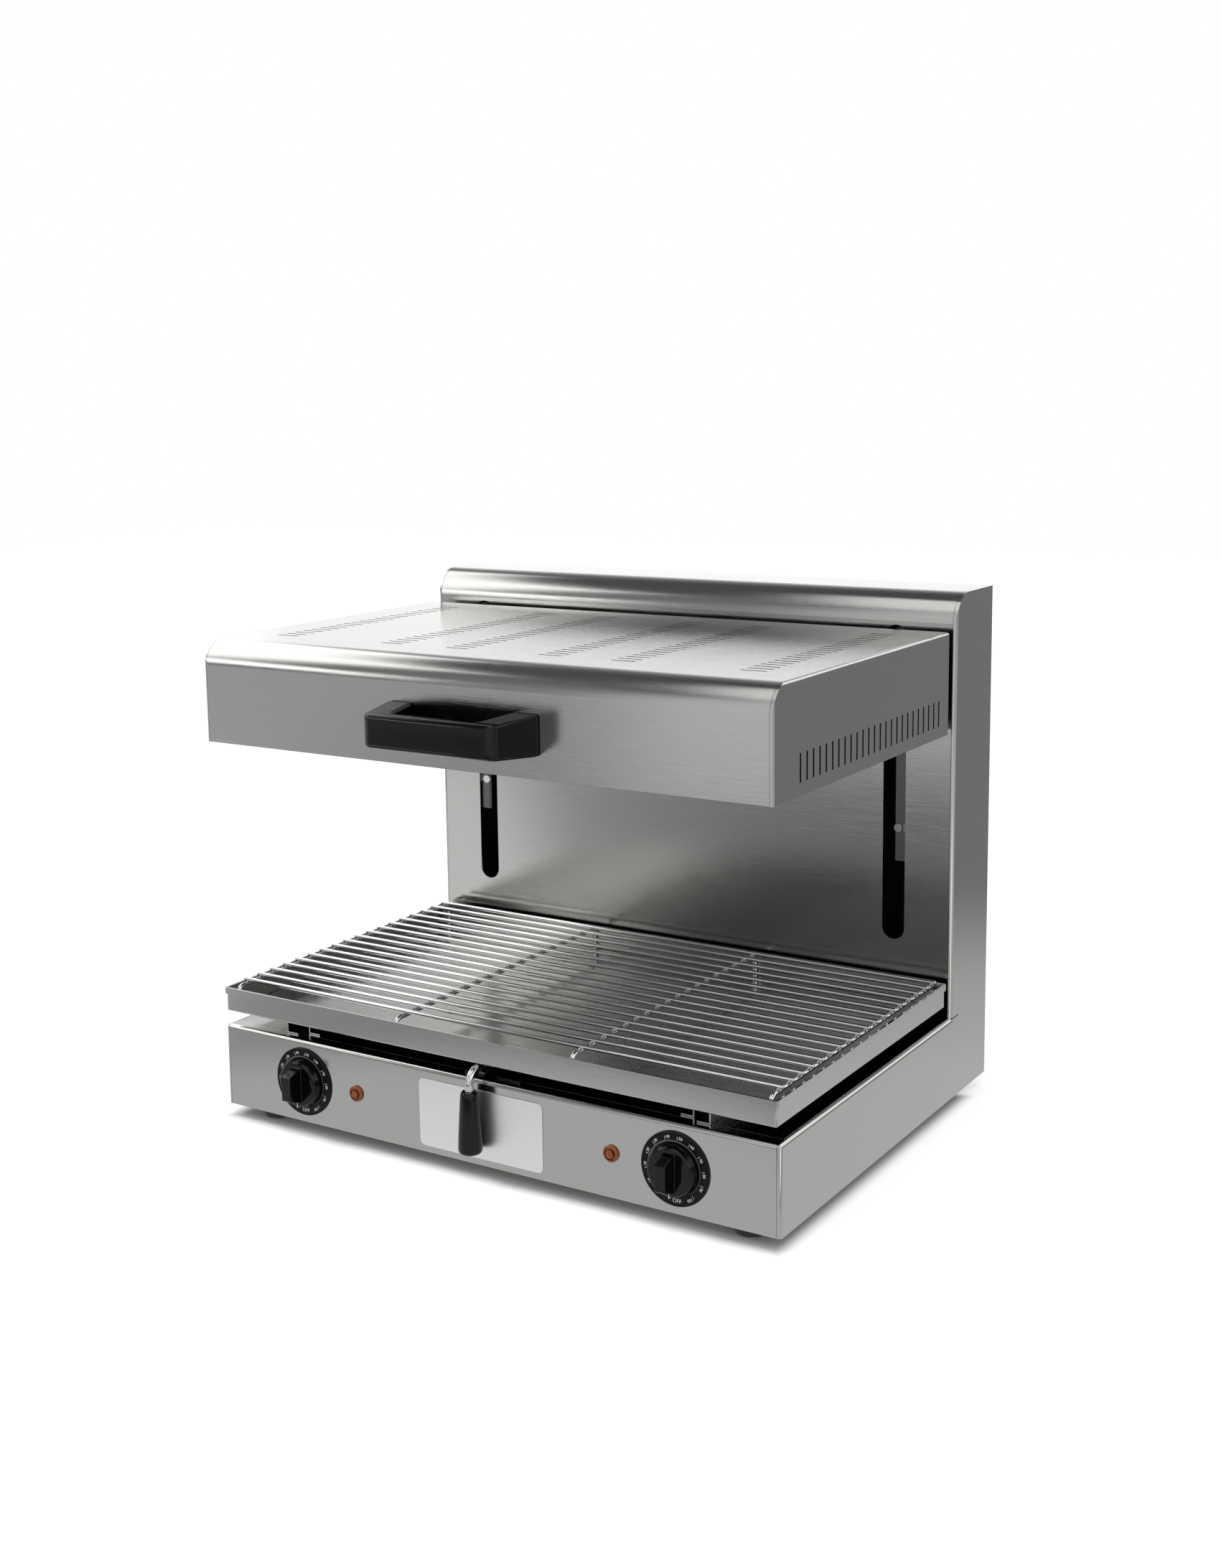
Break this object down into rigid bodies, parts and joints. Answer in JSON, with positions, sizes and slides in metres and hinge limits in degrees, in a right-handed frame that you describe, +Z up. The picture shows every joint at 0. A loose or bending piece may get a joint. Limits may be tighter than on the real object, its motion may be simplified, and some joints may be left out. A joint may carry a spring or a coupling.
{
  "type": "salamander grill",
  "caption": "Electric salamander grill with a counterbalanced lift hood over a sliding drip tray with a wire grid, on a base with control dials.",
  "frame": {"origin": "middle of the object's box, on the plane that the feet stand on", "axes": "+X to the right seen from the front, +Y to the back, +Z up"},
  "size_m": [0.6, 0.526, 0.502],
  "materials": {
    "satin_steel": "satin stainless steel, fine grain along the sheet",
    "bright_steel": "smoother stainless steel that mirrors what stands on it",
    "plated_steel": "zinc-plated pressed steel",
    "ground_rod": "ground and chromed guide rod",
    "chromed_wire": "chromed round wire",
    "reflector": "bright reflector sheet",
    "black_gloss": "black moulded plastic, glossy",
    "black_dial": "flat black dial with pale figures",
    "black_rubber": "black rubber",
    "amber_lens": "amber lamp lens",
    "plain_plate": "bare silver-white plate",
    "cream_plastic": "cream moulded plastic",
    "ceramic": "glazed white ceramic",
    "heater_sheath": "dark oxidised heater sheath",
    "fibre_mat": "woven glass-fibre mat",
    "iron_weight": "dark painted iron",
    "cable_steel": "stranded steel cable"
  },
  "bodies": {
    "cabinet": {"side_panel_left": "satin_steel", "side_panel_right": "satin_steel", "base_front_panel": "satin_steel", "base_top_sheet": "bright_steel", "base_floor": "plated_steel", "column_front_sheet": "satin_steel", "rear_base_panel": "plated_steel", "rear_cover": "satin_steel", "cover_screws": "plated_steel", "feet": "black_rubber", "dial_plate_left": "black_dial", "dial_plate_right": "black_dial", "pilot_lamp_left": "amber_lens", "pilot_lamp_right": "amber_lens", "regulator_left": "cream_plastic", "regulator_right": "cream_plastic", "name_plate": "plain_plate", "terminal_block": "ceramic", "cable_gland": "black_rubber", "guide_rods": "ground_rod", "lower_bracket": "plated_steel", "upper_bracket": "plated_steel", "pulley_forks": "plated_steel", "cable_wraps": "cable_steel", "weight_guide_rods": "ground_rod", "weight_buffers": "black_rubber"},
    "hood": {"hood_cover": "satin_steel", "hood_side_left": "satin_steel", "hood_side_right": "satin_steel", "hood_back": "satin_steel", "reflector_pan": "reflector", "insulation_mat": "fibre_mat", "heater_left": "heater_sheath", "heater_right": "heater_sheath", "heater_supports": "plated_steel", "heater_terminals": "ceramic", "hood_handle": "black_gloss", "hood_arm_left": "plated_steel", "hood_arm_right": "plated_steel", "carriage_left": "plated_steel", "carriage_right": "plated_steel", "bearing_blocks": "cream_plastic", "carriage_bolts": "ground_rod", "carriage_cables": "cable_steel"},
    "counterweight": {"counterweight": "iron_weight", "weight_cables": "cable_steel"},
    "pulley_left": {"pulley_left": "cream_plastic"},
    "pulley_right": {"pulley_right": "cream_plastic"},
    "knob_left": {"knob_left": "black_gloss", "spindle_left": "ground_rod"},
    "knob_right": {"knob_right": "black_gloss", "spindle_right": "ground_rod"},
    "tray": {"drip_tray": "satin_steel", "tray_runners": "satin_steel", "pull_bracket": "plated_steel", "pull_rod": "chromed_wire", "pull_grip": "black_gloss"},
    "grid": {"grid_rods": "chromed_wire", "grid_wires": "chromed_wire"}
  },
  "joints": [
    {"name": "hood_lift", "type": "slide", "parent": "cabinet", "child": "hood", "axis": [0, 0, 1], "range_m": [-0.21, 0], "deforming": ["carriage_cables"]},
    {"name": "weight_slide", "type": "slide", "parent": "cabinet", "child": "counterweight", "axis": [0, 0, 1], "range_m": [0, 0.21], "deforming": ["weight_cables"]},
    {"name": "pulley_left_spin", "type": "hinge", "parent": "cabinet", "child": "pulley_left", "pos_m": [-0.2481, 0.2012, 0.46], "axis": [1, 0, 0], "range_deg": [-2, 549]},
    {"name": "pulley_right_spin", "type": "hinge", "parent": "cabinet", "child": "pulley_right", "pos_m": [0.2481, 0.2012, 0.46], "axis": [1, 0, 0], "range_deg": [-2, 549]},
    {"name": "knob_left_turn", "type": "hinge", "parent": "cabinet", "child": "knob_left", "pos_m": [-0.202, -0.201, 0.052], "axis": [0, 1, 0], "range_deg": [0, 320]},
    {"name": "knob_right_turn", "type": "hinge", "parent": "cabinet", "child": "knob_right", "pos_m": [0.202, -0.201, 0.052], "axis": [0, 1, 0], "range_deg": [0, 320]},
    {"name": "tray_slide", "type": "slide", "parent": "cabinet", "child": "tray", "axis": [0, -1, 0], "range_m": [0, 0.3]},
    {"name": "grid_lift", "type": "slide", "parent": "tray", "child": "grid", "axis": [0, 0, 1], "range_m": [0, 0.02]}
  ],
  "couplings": [
    {"joint": "weight_slide", "follows": "hood_lift", "ratio": -1},
    {"joint": "pulley_left_spin", "follows": "hood_lift", "rad_per_m": -45.455},
    {"joint": "pulley_right_spin", "follows": "hood_lift", "rad_per_m": -45.455}
  ]
}
